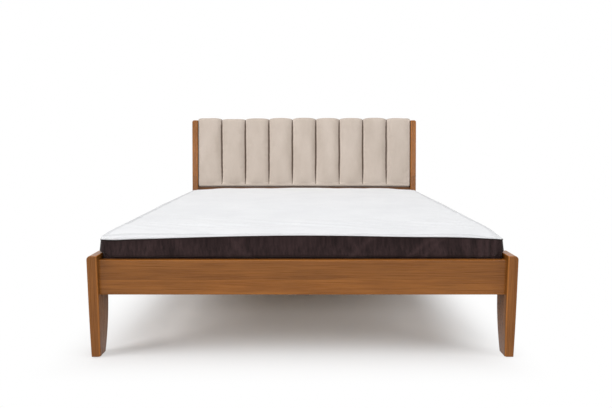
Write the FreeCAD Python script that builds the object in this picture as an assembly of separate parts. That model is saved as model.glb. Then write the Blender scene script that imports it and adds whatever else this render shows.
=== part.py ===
import FreeCAD, Part
import math
import os

os.makedirs("parts", exist_ok=True)

# A wooden double bed with sabre legs, a leaning headboard with nine upholstered channels, a slatted
# base hung between hook-on side rails, and a mattress. Millimetres and degrees. Z is up from the
# floor, Y runs from the foot end to the headboard, X from left to right, and the origin lies on the
# floor under the middle of the whole bed.

# Driving dimensions
mattress_width = 1596
mattress_length = 2000
mattress_height = 180
rail_floor_height = 250
rail_height = 140
rail_thickness = 28
leg_thickness = 40
leg_depth = 115
leg_height = 410
post_depth = 106
post_height = 987
headboard_lean = 5.74
panel_height = 508
channel_count = 9
slat_count = 14

# Room around the mattress, and setbacks of the end rails from the faces of the legs and posts
mattress_side_gap = 2
mattress_foot_gap = 4
mattress_head_gap = 20
foot_rail_setback = 22
head_rail_setback = 18

# Legs and posts
leg_foot_depth = 66
leg_inner_taper = 3
leg_outer_taper = 2.5
leg_edge_bevel = 3.5
leg_top_bevel = 4
leg_sole_bevel = 2
leg_crown_radius = 15
taper_shares = (0, 0.25, 0.5, 0.75, 1)
post_bend_height = 80
post_top_depth = 68

# Rails, tenons and the edge rounding of planed wood
rail_edge_radius = 4
tenon_length = 26
tenon_thickness = 12
tenon_shoulder = 15
tenon_side_gap = 0.2
tenon_end_gap = 1.5

# Steel hook plates that hang the side rails
plate_thickness = 2.5
plate_width = 18
plate_height = 104
plate_gap = 0.2
hook_thickness = 3
hook_height = 20
hook_drop = 6
hook_reach = 10
hook_gap = 0.4
hook_lift = 28
hook_spacing = 44
hook_low_edge = 16
hook_pocket_gap = 3

# Slatted base
ledge_width = 25
ledge_height = 30
ledge_rise = 2
ledge_end_gap = 8
ledge_edge_radius = 2
slat_thickness = 20
slat_width = 70
slat_end_gap = 3
slat_edge_radius = 3
beam_width = 45
beam_height = 38
beam_end_gap = 1
beam_edge_radius = 2
shoe_thickness = 2.5
shoe_length = 40
shoe_side_gap = 0.5
shoe_ear_width = 20

# Centre leg with its bolt, threaded insert and levelling foot
center_leg_top_width = 45
center_leg_foot_width = 34
center_leg_edge_bevel = 3
bolt_radius = 4
bolt_in_leg = 34
bolt_in_beam = 28
bolt_point = 2
bolt_gap = 0.1
insert_radius = 6
insert_length = 18
insert_flange_radius = 9
insert_flange_thickness = 1.5
thread_gap = 0.06
foot_screw_radius = 4
foot_screw_length = 34
foot_hex_flats = 13
foot_hex_height = 5
foot_pad_radius = 20
foot_pad_height = 6.5
foot_pad_floor = 3
foot_pad_edge_radius = 1.5
foot_seat_gap = 0.3
foot_bore_gap = 0.6

# Glides under the legs and posts
glide_radius = 12
glide_height = 3
glide_edge_bevel = 1

# Headboard panel, measured square to its lean
panel_side_gap = 2
cushion_crown_setback = 8
cushion_crown_thickness = 30
cushion_seam_thickness = 6
cushion_crown_round = 26
cushion_seam_round = 12
cushion_round_steps = 3
cushion_low_round = 8
cushion_scallop = 14
board_thickness = 16
board_top_drop = 3
cover_thickness = 1.5
cover_margin = 12
panel_rail_thickness = 18.5
upper_rail_height = 60
upper_rail_rise = 284
lower_rail_height = 50
lower_rail_setback = 24
lower_rail_seat_rise = 18
lower_rail_lip_rise = 30
panel_rail_edge_radius = 2
panel_tenon_thickness = 10
panel_tenon_shoulder = 8
channel_shares = (0.14, 0.36, 0.64, 0.86, 1)

# Mattress
mattress_corner_radius = 28
mattress_side_bulge = 1
panel_layer_thickness = 10
tape_height = 6
tape_proud = 1
mattress_corner_steps = 4
top_crown_height = 17
border_thickness = 30
soft_gap = 0.3
crown_height_shares = (0, 0.5, 0.8, 1)
crown_inset_shares = (0, 0.025, 0.2, 1)
crown_reach = 120

# How far every cutter runs past the face that it opens, and how near counts as touching
overrun = 5
near = 0.01
quarter_turn = 90
full_turn = 360
hexagon_sides = 6

Vector = FreeCAD.Vector
origin = Vector(0, 0, 0)
x_axis = Vector(1, 0, 0)
y_axis = Vector(0, 1, 0)
z_axis = Vector(0, 0, 1)

# Places across the bed
inner_half = mattress_width / 2 + mattress_side_gap
outer_half = inner_half + leg_thickness
rail_outset = (leg_thickness - rail_thickness) / 2
side_rail_inner = inner_half + rail_outset

# Places along the bed, first from the faces of the front legs, then from the middle
lean_slope = math.tan(math.radians(headboard_lean))
post_bend_offset = lean_slope * post_bend_height / 2
post_bend_top = rail_floor_height + rail_height + post_bend_height
post_top_offset = post_bend_offset + lean_slope * (post_height - post_bend_top)
between_end_rails = mattress_length + mattress_foot_gap + mattress_head_gap
post_from_leg = foot_rail_setback + rail_thickness + between_end_rails - head_rail_setback
bed_length = post_from_leg + post_top_offset + post_top_depth
leg_front = -bed_length / 2
leg_rear = leg_front + leg_depth
post_front = leg_front + post_from_leg
post_rear = post_front + post_depth
foot_rail_front = leg_front + foot_rail_setback
foot_rail_rear = foot_rail_front + rail_thickness
head_rail_front = foot_rail_rear + between_end_rails
side_rail_middle = (leg_rear + post_front) / 2

# Heights
rail_top = rail_floor_height + rail_height
ledge_bottom = rail_floor_height + ledge_rise
slat_bottom = ledge_bottom + ledge_height
slat_top = slat_bottom + slat_thickness
beam_bottom = slat_bottom - beam_height
mattress_bottom = slat_top + soft_gap

# Headboard panel, as distances behind the posts' straight front line and up along it
board_front = cushion_crown_setback + cushion_crown_thickness + soft_gap
board_rear = board_front + board_thickness
panel_rail_front = board_rear + cover_thickness
panel_rail_rear = panel_rail_front + panel_rail_thickness
panel_bottom = lower_rail_seat_rise
panel_top = panel_bottom + panel_height
panel_half = inner_half - panel_side_gap
channel_width = 2 * panel_half / channel_count
upper_rail_bottom = panel_bottom + upper_rail_rise


def block(x_low, x_high, y_low, y_high, z_low, z_high):
    """A square-edged piece of stock, or the cutter for a straight recess."""
    size = Vector(x_high - x_low, y_high - y_low, z_high - z_low)
    return Part.makeBox(size.x, size.y, size.z, Vector(x_low, y_low, z_low))


def edges_along(shape, axis):
    """The straight edges of a shape that run along an axis."""
    found = []
    for edge in shape.Edges:
        run = edge.lastVertex().Point - edge.firstVertex().Point
        if run.Length > 0 and run.getAngle(axis) in (0, math.pi):
            found.append(edge)
    return found


def planed(shape, axis, radius):
    """A board with its long edges rounded over."""
    return shape.makeFillet(radius, edges_along(shape, axis))


def level_edges(shape, z):
    """The edges that lie wholly at one height."""
    return [e for e in shape.Edges if abs(e.BoundBox.ZMin - z) < near and abs(e.BoundBox.ZMax - z) < near]


def beveled_rectangle(x_low, x_high, y_low, y_high, z, bevel):
    """A level outline with its corners taken off, drawn the same way at every height."""
    corners = [
        (x_high - bevel, y_low),
        (x_high, y_low + bevel),
        (x_high, y_high - bevel),
        (x_high - bevel, y_high),
        (x_low + bevel, y_high),
        (x_low, y_high - bevel),
        (x_low, y_low + bevel),
        (x_low + bevel, y_low),
    ]
    points = [Vector(x, y, z) for x, y in corners]
    return Part.makePolygon(points + points[:1])


def rounded_rectangle(x_low, x_high, y_low, y_high, z, radius):
    """A level outline with round corners, drawn the same way at every height."""
    centers = (
        (x_high - radius, y_low + radius),
        (x_high - radius, y_high - radius),
        (x_low + radius, y_high - radius),
        (x_low + radius, y_low + radius),
    )
    arcs = []
    for corner, (x, y) in enumerate(centers):
        start = (corner - 1) * quarter_turn
        arcs.append(Part.makeCircle(radius, Vector(x, y, z), z_axis, start, start + quarter_turn))
    edges = []
    for arc, following in zip(arcs, arcs[1:] + arcs[:1]):
        edges.append(arc)
        edges.append(Part.makeLine(arc.lastVertex().Point, following.firstVertex().Point))
    return Part.Wire(edges)


def turned(outline):
    """A turned piece about the Z axis, from (radius, height) points that start and end on the axis."""
    points = [Vector(radius, 0, height) for radius, height in outline]
    return Part.Face(Part.makePolygon(points + points[:1])).revolve(origin, z_axis, full_turn)


def aimed(shape, place, direction):
    """A piece modelled pointing up from the origin, set at a place and pointed along a direction."""
    moved = shape.copy()
    moved.Placement = FreeCAD.Placement(place, FreeCAD.Rotation(z_axis, direction))
    return moved


def left_of(shape):
    """The mirror image of a right-hand piece on the left of the bed."""
    return shape.mirror(origin, x_axis)


def both_sides(shape):
    return [left_of(shape), shape]


def four_corners(shape):
    """A front right piece of rail hardware, repeated at both ends of both side rails."""
    rear = shape.mirror(Vector(0, side_rail_middle, 0), y_axis)
    return both_sides(shape) + both_sides(rear)


def evenly(first, last, count):
    step = (last - first) / (count - 1)
    return [first + step * place for place in range(count)]


plate_bottom = rail_floor_height + (rail_height - plate_height) / 2
hook_bottoms = (plate_bottom + hook_low_edge, plate_bottom + hook_low_edge + hook_spacing)
ledge_inner = side_rail_inner - ledge_width
shoe_outer = beam_width / 2 + shoe_side_gap + shoe_thickness
first_slat = leg_rear + ledge_end_gap + slat_width / 2
last_slat = post_front - ledge_end_gap - slat_width / 2
slat_places = evenly(first_slat, last_slat, slat_count)
center_leg_place = (foot_rail_rear + head_rail_front) / 2


# Legs, posts and rails


def leg_fullness(share):
    """How far a leg has filled out at a share of the height from its sole to the rail."""
    return 1 - (1 - share) ** 2


def tapered_foot(y_front_taper, y_front, y_rear_taper, y_rear):
    """The sabre-shaped part of a leg below the rails, drawn in on the faces that have a taper."""
    outlines = []
    for share in taper_shares:
        lost = 1 - leg_fullness(share)
        outlines.append(
            beveled_rectangle(
                inner_half + leg_inner_taper * lost,
                outer_half - leg_outer_taper * lost,
                y_front + y_front_taper * lost,
                y_rear - y_rear_taper * lost,
                glide_height + (rail_floor_height - glide_height) * share,
                leg_edge_bevel,
            )
        )
    return Part.makeLoft(outlines, True)


def upright(outline, height):
    return Part.Face(outline).extrude(Vector(0, 0, height))


def rail_mortise(y_front):
    """The pocket in a leg or post for the tenon of an end rail."""
    y_low = y_front + (rail_thickness - tenon_thickness) / 2 - tenon_side_gap
    return block(
        inner_half - overrun,
        inner_half + tenon_length + tenon_end_gap,
        y_low,
        y_low + tenon_thickness + 2 * tenon_side_gap,
        rail_floor_height + tenon_shoulder - tenon_side_gap,
        rail_top - tenon_shoulder + tenon_side_gap,
    )


def socket_pocket():
    """The recess for a socket plate in a leg, with room behind it for the two hooks."""
    x = side_rail_inner + rail_thickness / 2
    half_width = plate_width / 2 + plate_gap
    pocket = block(
        x - half_width,
        x + half_width,
        leg_rear - plate_thickness,
        leg_rear + overrun,
        plate_bottom - plate_gap,
        plate_bottom + plate_height + plate_gap,
    )
    half_slot = hook_thickness / 2 + hook_pocket_gap
    for z in hook_bottoms:
        room = block(
            x - half_slot,
            x + half_slot,
            leg_rear - plate_thickness - hook_reach - hook_pocket_gap,
            leg_rear,
            z - hook_drop - hook_pocket_gap,
            z + hook_lift + hook_gap,
        )
        pocket = pocket.fuse(room)
    return pocket


def glide_at(y):
    """A round glide under a sole, on the middle of its thickness."""
    x = (inner_half + leg_inner_taper + outer_half - leg_outer_taper) / 2
    outline = [
        (0, 0),
        (glide_radius - glide_edge_bevel, 0),
        (glide_radius, glide_edge_bevel),
        (glide_radius, glide_height),
        (0, glide_height),
    ]
    return aimed(turned(outline), Vector(x, y, 0), z_axis)


front_glide_place = leg_front + leg_foot_depth / 2
rear_glide_place = post_rear - leg_foot_depth / 2


def crowned(upright_piece, top):
    """Rounds over the outer top edge of a right-hand leg or post."""
    room = block(
        inner_half - overrun,
        outer_half,
        leg_front - overrun,
        leg_front + bed_length + overrun,
        -overrun,
        top,
    )
    outer = [e for e in level_edges(room, top) if abs(e.BoundBox.XMin - outer_half) < near]
    return upright_piece.common(room.makeFillet(leg_crown_radius, outer))


def front_leg():
    """The right front leg: straight beside the rails, with a sabre curve on its rear edge below."""
    foot = tapered_foot(0, leg_front, leg_depth - leg_foot_depth, leg_rear)
    straight = beveled_rectangle(
        inner_half,
        outer_half,
        leg_front,
        leg_rear,
        rail_floor_height,
        leg_edge_bevel,
    )
    leg = foot.fuse(upright(straight, leg_height - rail_floor_height))
    leg = leg.makeChamfer(leg_top_bevel, level_edges(leg, leg_height))
    leg = leg.makeChamfer(leg_sole_bevel, level_edges(leg, glide_height))
    return crowned(leg, leg_height).cut([rail_mortise(foot_rail_front), socket_pocket()])


def post_outline(z):
    """The outline of the right post at a height above the rails, where it bends back and slims."""
    rise = z - rail_top
    front = lean_slope * rise ** 2 / (2 * post_bend_height)
    if z > post_bend_top:
        front = post_bend_offset + lean_slope * (z - post_bend_top)
    rear_slope = (post_top_offset + post_top_depth - post_depth) / (post_height - rail_top)
    rear = post_depth + rear_slope * rise
    return beveled_rectangle(inner_half, outer_half, post_front + front, post_front + rear, z, leg_edge_bevel)


def post():
    """The right headboard post: a sabre foot, a straight part beside the rails, a bend and a lean."""
    foot = tapered_foot(post_depth - leg_foot_depth, post_front, 0, post_rear)
    straight = upright(post_outline(rail_top), -rail_height)
    bend_heights = [rail_top + post_bend_height * share for share in taper_shares]
    bend = Part.makeLoft([post_outline(z) for z in bend_heights], True)
    lean = Part.makeLoft([post_outline(post_bend_top), post_outline(post_height)], True, True)
    whole = foot.multiFuse([straight, bend, lean])
    whole = whole.makeChamfer(leg_top_bevel, level_edges(whole, post_height))
    whole = whole.makeChamfer(leg_sole_bevel, level_edges(whole, glide_height))
    pocket = socket_pocket().mirror(Vector(0, side_rail_middle, 0), y_axis)
    mortises = [rail_mortise(head_rail_front)] + [leaned(m) for m in panel_mortises()]
    return crowned(whole, post_height).cut(mortises + [pocket])


def end_rail(y_front):
    """The foot or head rail, tenoned at both ends."""
    y_rear = y_front + rail_thickness
    rail = block(-inner_half, inner_half, y_front, y_rear, rail_floor_height, rail_top)
    rail = planed(rail, x_axis, rail_edge_radius)
    tenon_front = y_front + (rail_thickness - tenon_thickness) / 2
    tenon = block(
        -inner_half - tenon_length,
        inner_half + tenon_length,
        tenon_front,
        tenon_front + tenon_thickness,
        rail_floor_height + tenon_shoulder,
        rail_top - tenon_shoulder,
    )
    return rail.fuse(tenon)


def side_rail():
    """The right side rail, recessed at both ends for its hook plates."""
    rail = block(
        side_rail_inner,
        side_rail_inner + rail_thickness,
        leg_rear + plate_gap,
        post_front - plate_gap,
        rail_floor_height,
        rail_top,
    )
    rail = planed(rail, y_axis, rail_edge_radius)
    x = side_rail_inner + rail_thickness / 2
    half_width = plate_width / 2 + plate_gap
    recess = block(
        x - half_width,
        x + half_width,
        leg_rear - overrun,
        leg_rear + plate_gap + plate_thickness,
        plate_bottom - plate_gap,
        plate_bottom + plate_height + plate_gap,
    )
    return rail.cut([recess, recess.mirror(Vector(0, side_rail_middle, 0), y_axis)])


def socket_plate():
    """A plate let into the leg, with two upright slots for the hooks."""
    x = side_rail_inner + rail_thickness / 2
    plate = block(
        x - plate_width / 2,
        x + plate_width / 2,
        leg_rear - plate_thickness,
        leg_rear,
        plate_bottom,
        plate_bottom + plate_height,
    )
    half_slot = hook_thickness / 2 + hook_gap
    slots = [
        block(x - half_slot, x + half_slot, leg_rear - overrun, leg_rear + overrun, z, z + hook_lift)
        for z in hook_bottoms
    ]
    return plate.cut(slots)


def hook_plate():
    """A plate let into the rail's end, with two hooks that drop behind the socket plate."""
    x = side_rail_inner + rail_thickness / 2
    face = leg_rear + plate_gap
    plate = block(
        x - plate_width / 2,
        x + plate_width / 2,
        face,
        face + plate_thickness,
        plate_bottom,
        plate_bottom + plate_height,
    )
    behind = leg_rear - plate_thickness - hook_gap
    tip = behind - hook_thickness
    for z in hook_bottoms:
        corners = [
            (face, z),
            (behind, z),
            (behind, z - hook_drop),
            (tip, z - hook_drop + hook_gap),
            (tip, z + hook_height / 2),
            (behind, z + hook_height),
            (face, z + hook_height),
        ]
        points = [Vector(x - hook_thickness / 2, y, height) for y, height in corners]
        hook = Part.Face(Part.makePolygon(points + points[:1])).extrude(Vector(hook_thickness, 0, 0))
        plate = plate.fuse(hook)
    return plate


# Slatted base


def slat_ledge():
    """The right ledge, on the inside of the side rail under the ends of the slats."""
    ledge = block(
        ledge_inner,
        side_rail_inner,
        leg_rear + ledge_end_gap,
        post_front - ledge_end_gap,
        ledge_bottom,
        slat_bottom,
    )
    return planed(ledge, y_axis, ledge_edge_radius)


def slat(y):
    """A solid slat across the whole base."""
    half = side_rail_inner - slat_end_gap
    board = block(-half, half, y - slat_width / 2, y + slat_width / 2, slat_bottom, slat_top)
    return planed(board, x_axis, slat_edge_radius)


def center_beam():
    """The beam along the middle, carried by a shoe on each end rail and by the centre leg."""
    beam = block(
        -beam_width / 2,
        beam_width / 2,
        foot_rail_rear + beam_end_gap,
        head_rail_front - beam_end_gap,
        beam_bottom,
        slat_bottom,
    )
    beam = planed(beam, y_axis, beam_edge_radius)
    place = Vector(0, center_leg_place, beam_bottom - overrun)
    depth = bolt_in_beam + bolt_gap
    return beam.cut(Part.makeCylinder(bolt_radius + bolt_gap, depth + overrun, place, z_axis))


def beam_shoe(face_y, inward):
    """A bent steel shoe on an end rail: a trough for the beam, with an ear on each side."""
    inner = beam_width / 2 + shoe_side_gap
    trough = [
        (-shoe_outer, slat_bottom),
        (-shoe_outer, beam_bottom - shoe_thickness),
        (shoe_outer, beam_bottom - shoe_thickness),
        (shoe_outer, slat_bottom),
        (inner, slat_bottom),
        (inner, beam_bottom),
        (-inner, beam_bottom),
        (-inner, slat_bottom),
    ]
    points = [Vector(x, face_y, z) for x, z in trough]
    shoe = Part.Face(Part.makePolygon(points + points[:1])).extrude(Vector(0, inward * shoe_length, 0))
    ear_y = sorted((face_y, face_y + inward * shoe_thickness))
    for low, high in ((-shoe_outer - shoe_ear_width, -shoe_outer), (shoe_outer, shoe_outer + shoe_ear_width)):
        shoe = shoe.fuse(block(low, high, ear_y[0], ear_y[1], beam_bottom, slat_bottom))
    return shoe


# Centre leg and levelling foot, stacked up from the floor

hex_bottom = foot_pad_height + foot_seat_gap
hex_top = hex_bottom + foot_hex_height
center_leg_bottom = hex_top + foot_seat_gap + insert_flange_thickness
foot_screw_top = hex_top + foot_screw_length
foot_spindle = Vector(0, center_leg_place, 0)


def center_leg():
    """A square, tapered leg under the beam, bored for its bolt, insert and levelling screw."""
    outlines = []
    for width, z in ((center_leg_foot_width, center_leg_bottom), (center_leg_top_width, beam_bottom)):
        half = width / 2
        low, high = center_leg_place - half, center_leg_place + half
        outlines.append(beveled_rectangle(-half, half, low, high, z, center_leg_edge_bevel))
    leg = Part.makeLoft(outlines, True, True)
    sleeve_bore = turned([
        (0, -overrun),
        (insert_radius + bolt_gap, -overrun),
        (insert_radius + bolt_gap, insert_length + bolt_gap),
        (foot_screw_radius + foot_bore_gap, insert_length + bolt_gap),
        (foot_screw_radius + foot_bore_gap, foot_screw_length + foot_bore_gap),
        (0, foot_screw_length + foot_bore_gap),
    ])
    sleeve_bore = aimed(sleeve_bore, foot_spindle + z_axis * center_leg_bottom, z_axis)
    place = foot_spindle + z_axis * (beam_bottom - bolt_in_leg - bolt_gap)
    bolt_bore = Part.makeCylinder(bolt_radius + bolt_gap, bolt_in_leg + bolt_gap + overrun, place, z_axis)
    return leg.cut([sleeve_bore, bolt_bore])


def center_leg_bolt():
    """The double-ended bolt that joins the centre leg to the beam."""
    length = bolt_in_leg + bolt_in_beam
    outline = [
        (0, 0),
        (bolt_radius - bolt_point, 0),
        (bolt_radius, bolt_point),
        (bolt_radius, length - bolt_point),
        (bolt_radius - bolt_point, length),
        (0, length),
    ]
    return aimed(turned(outline), foot_spindle + z_axis * (beam_bottom - bolt_in_leg), z_axis)


def center_leg_insert():
    """The flanged, threaded sleeve pressed into the foot of the centre leg."""
    outline = [
        (foot_screw_radius + thread_gap, -insert_flange_thickness),
        (insert_flange_radius, -insert_flange_thickness),
        (insert_flange_radius, 0),
        (insert_radius, 0),
        (insert_radius, insert_length),
        (foot_screw_radius + thread_gap, insert_length),
    ]
    return aimed(turned(outline), foot_spindle + z_axis * center_leg_bottom, z_axis)


def foot_screw():
    """The levelling screw, with a hexagon to turn it by and a stub that turns in the pad."""
    stem = turned([
        (0, foot_pad_floor + thread_gap),
        (foot_screw_radius, foot_pad_floor + thread_gap),
        (foot_screw_radius, foot_screw_top - bolt_point),
        (foot_screw_radius - bolt_point, foot_screw_top),
        (0, foot_screw_top),
    ])
    corner_radius = foot_hex_flats / 2 / math.cos(math.pi / hexagon_sides)
    points = []
    for corner in range(hexagon_sides):
        turn = 2 * math.pi * corner / hexagon_sides
        points.append(Vector(corner_radius * math.cos(turn), corner_radius * math.sin(turn), hex_bottom))
    hexagon = Part.Face(Part.makePolygon(points + points[:1])).extrude(Vector(0, 0, foot_hex_height))
    return aimed(stem.fuse(hexagon), foot_spindle, z_axis)


def foot_pad():
    """The round pad that stands on the floor and carries the screw's stub in a socket."""
    socket_radius = foot_screw_radius + thread_gap
    outline = [
        (0, 0),
        (foot_pad_radius - foot_pad_edge_radius, 0),
        (foot_pad_radius, foot_pad_edge_radius),
        (foot_pad_radius, foot_pad_floor),
        (foot_screw_radius + 2 * foot_pad_edge_radius, foot_pad_height),
        (socket_radius, foot_pad_height),
        (socket_radius, foot_pad_floor),
        (0, foot_pad_floor),
    ]
    return aimed(turned(outline), foot_spindle, z_axis)


# Headboard panel, modelled upright at the origin and then leaned back between the posts


def leaned(shape):
    """Sets an upright headboard piece on the posts' leaning front line."""
    moved = shape.copy()
    moved.rotate(origin, x_axis, -headboard_lean)
    moved.translate(Vector(0, post_front + post_bend_offset, post_bend_top))
    return moved


def panel_tenon(half, front, bottom, height, gap):
    """The tenons at both ends of a panel rail, or with a gap the mortises that take them."""
    shoulder = (panel_rail_thickness - panel_tenon_thickness) / 2
    return block(
        -half,
        half,
        front + shoulder - gap,
        front + shoulder + panel_tenon_thickness + gap,
        bottom + panel_tenon_shoulder - gap,
        bottom + height - panel_tenon_shoulder + gap,
    )


def panel_mortises():
    half = inner_half + tenon_length + tenon_end_gap
    lower_bottom = panel_bottom - lower_rail_height
    return [
        panel_tenon(half, panel_rail_front, upper_rail_bottom, upper_rail_height, tenon_side_gap),
        panel_tenon(half, panel_rail_front, lower_bottom, lower_rail_height, tenon_side_gap),
    ]


def panel_upper_rail():
    """The flat rail behind the panel, tenoned into the posts."""
    rail = block(
        -inner_half,
        inner_half,
        panel_rail_front,
        panel_rail_rear,
        upper_rail_bottom,
        upper_rail_bottom + upper_rail_height,
    )
    rail = planed(rail, x_axis, panel_rail_edge_radius)
    half = inner_half + tenon_length
    tenons = panel_tenon(half, panel_rail_front, upper_rail_bottom, upper_rail_height, 0)
    return leaned(rail.fuse(tenons))


def panel_lower_rail():
    """The rail that carries the panel on its seat, with a lip behind the panel's lower edge."""
    bottom = panel_bottom - lower_rail_height
    lip_top = panel_bottom + lower_rail_lip_rise
    profile = [
        (lower_rail_setback, bottom),
        (panel_rail_rear, bottom),
        (panel_rail_rear, lip_top),
        (panel_rail_front, lip_top),
        (panel_rail_front, panel_bottom),
        (lower_rail_setback, panel_bottom),
    ]
    points = [Vector(-inner_half, y, z) for y, z in profile]
    rail = Part.Face(Part.makePolygon(points + points[:1])).extrude(Vector(2 * inner_half, 0, 0))
    outer = [e for e in edges_along(rail, x_axis) if e.BoundBox.ZMin < panel_bottom]
    rail = rail.makeFillet(panel_rail_edge_radius, outer)
    tenons = panel_tenon(inner_half + tenon_length, panel_rail_front, bottom, lower_rail_height, 0)
    return leaned(rail.fuse(tenons))


def panel_board():
    """The board that the padding is stretched over, standing on the lower rail's seat."""
    board = block(-panel_half, panel_half, board_front, board_rear, panel_bottom, panel_top - board_top_drop)
    return leaned(board)


def panel_back_cover():
    """The thin cloth that closes the back of the board."""
    half = panel_half - cover_margin
    top = panel_top - board_top_drop - cover_margin
    cover = block(-half, half, board_rear, panel_rail_front, panel_bottom + soft_gap, top)
    return leaned(cover)


def cushion_section(x, fullness):
    """The upright section of the padding at one place across: thin at a seam, crowned between."""
    rear = cushion_crown_setback + cushion_crown_thickness
    thickness = cushion_seam_thickness + (cushion_crown_thickness - cushion_seam_thickness) * fullness
    rounding = cushion_seam_round + (cushion_crown_round - cushion_seam_round) * fullness
    front = rear - thickness
    top = panel_top + cushion_scallop * fullness
    bottom = panel_bottom + soft_gap
    points = [Vector(x, rear, bottom)]
    for step in range(cushion_round_steps + 1):
        turn = math.radians(quarter_turn * step / cushion_round_steps)
        points.append(Vector(x, rear - thickness * math.sin(turn), top - rounding * (1 - math.cos(turn))))
    points.append(Vector(x, front, bottom + cushion_low_round * fullness + soft_gap))
    return Part.makePolygon(points + points[:1])


def headboard_cushion():
    """The padding with its upright channels, scalloped along the top where the seams draw it in."""
    sections = [cushion_section(-panel_half, 0)]
    for number in range(channel_count):
        start = -panel_half + channel_width * number
        for share in channel_shares:
            fullness = math.sqrt(1 - (2 * share - 1) ** 2)
            sections.append(cushion_section(start + channel_width * share, fullness))
    return leaned(Part.makeLoft(sections, True, True))


# Mattress, stacked up from the slats

mattress_front = foot_rail_rear + mattress_foot_gap
mattress_rear = mattress_front + mattress_length
lower_tape_bottom = mattress_bottom + panel_layer_thickness + soft_gap
border_bottom = lower_tape_bottom + tape_height + soft_gap
top_panel_bottom = mattress_bottom + mattress_height - top_crown_height
upper_tape_bottom = top_panel_bottom - soft_gap - tape_height
border_top = upper_tape_bottom - soft_gap


def mattress_outline(z, inset):
    """The mattress's outline at a height, drawn in by an inset or let out by a negative one."""
    half = mattress_width / 2 - inset
    front, rear = mattress_front + inset, mattress_rear - inset
    return rounded_rectangle(-half, half, front, rear, z, mattress_corner_radius)


def mattress_ring(levels):
    """A closed band round the mattress, from (height, inset) levels of its outer face."""
    outer = Part.makeLoft([mattress_outline(z, inset) for z, inset in levels], True, True)
    bottom, top = levels[0][0], levels[-1][0]
    hollow = upright(mattress_outline(bottom - overrun, border_thickness), top - bottom + 2 * overrun)
    return outer.cut(hollow)


def mattress_border():
    """The dark side border, drawn in at the tapes and bulging between them."""
    middle = (border_bottom + border_top) / 2
    return mattress_ring([(border_bottom, 0), (middle, -mattress_side_bulge), (border_top, 0)])


def mattress_tape(bottom):
    """The tape that binds a panel to the border, standing a little proud of both."""
    return mattress_ring([(bottom, -tape_proud), (bottom + tape_height, -tape_proud)])


def mattress_core():
    """The sprung block inside the border."""
    bottom = lower_tape_bottom
    outline = mattress_outline(bottom, border_thickness + soft_gap)
    return upright(outline, top_panel_bottom - soft_gap - bottom)


def mattress_bottom_panel():
    return upright(mattress_outline(mattress_bottom, 0), panel_layer_thickness)


def stepped_outline(z, inset):
    """The mattress's outline with each round corner drawn as a few straight steps."""
    x, y = mattress_width / 2 - inset, mattress_length / 2 - inset
    radius = mattress_corner_radius
    middle = (mattress_front + mattress_rear) / 2
    points = []
    for corner, (side, end) in enumerate(((1, -1), (1, 1), (-1, 1), (-1, -1))):
        center = Vector(side * (x - radius), middle + end * (y - radius), z)
        for step in range(mattress_corner_steps + 1):
            turn = math.radians(quarter_turn * (corner - 1 + step / mattress_corner_steps))
            points.append(center + Vector(radius * math.cos(turn), radius * math.sin(turn), 0))
    return Part.makePolygon(points + points[:1])


def mattress_top():
    """The quilted top, level at its seam and crowned towards the middle."""
    outlines = []
    for height_share, inset_share in zip(crown_height_shares, crown_inset_shares):
        z = top_panel_bottom + top_crown_height * height_share
        outlines.append(stepped_outline(z, crown_reach * inset_share))
    return Part.makeLoft(outlines, True, True)


def write(name, pieces):
    """Writes one sub-part, a single solid or a group of like solids."""
    shape = pieces if isinstance(pieces, Part.Shape) else Part.makeCompound(pieces)
    if not shape.isValid():
        print("not valid:", name)
    shape.exportStep("parts/" + name + ".step")


right_leg = front_leg()
right_post = post()
right_side_rail = side_rail()
right_ledge = slat_ledge()
front_glide = glide_at(front_glide_place)
rear_glide = glide_at(rear_glide_place)

write("front_leg_right", right_leg)
write("front_leg_left", left_of(right_leg))
write("headboard_post_right", right_post)
write("headboard_post_left", left_of(right_post))
write("foot_rail", end_rail(foot_rail_front))
write("head_rail", end_rail(head_rail_front))
write("side_rail_right", right_side_rail)
write("side_rail_left", left_of(right_side_rail))
write("rail_socket_plates", four_corners(socket_plate()))
write("rail_hook_plates", four_corners(hook_plate()))
write("glide_front_right", front_glide)
write("glide_front_left", left_of(front_glide))
write("glide_rear_right", rear_glide)
write("glide_rear_left", left_of(rear_glide))
write("slat_ledge_right", right_ledge)
write("slat_ledge_left", left_of(right_ledge))
write("center_beam", center_beam())
write("beam_shoe_foot", beam_shoe(foot_rail_rear, 1))
write("beam_shoe_head", beam_shoe(head_rail_front, -1))
write("center_leg", center_leg())
write("center_leg_bolt", center_leg_bolt())
write("center_leg_insert", center_leg_insert())
write("foot_screw", foot_screw())
write("foot_pad", foot_pad())
for number, y in enumerate(slat_places, 1):
    write("slat_%02d" % number, slat(y))
write("panel_lower_rail", panel_lower_rail())
write("panel_upper_rail", panel_upper_rail())
write("panel_board", panel_board())
write("panel_back_cover", panel_back_cover())
write("headboard_cushion", headboard_cushion())
write("mattress_bottom_panel", mattress_bottom_panel())
write("mattress_tape_lower", mattress_tape(lower_tape_bottom))
write("mattress_border", mattress_border())
write("mattress_core", mattress_core())
write("mattress_tape_upper", mattress_tape(upper_tape_bottom))
write("mattress_top", mattress_top())
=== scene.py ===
import math

import bmesh
import bpy
import numpy as np
from mathutils import Matrix, Vector, noise


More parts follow.
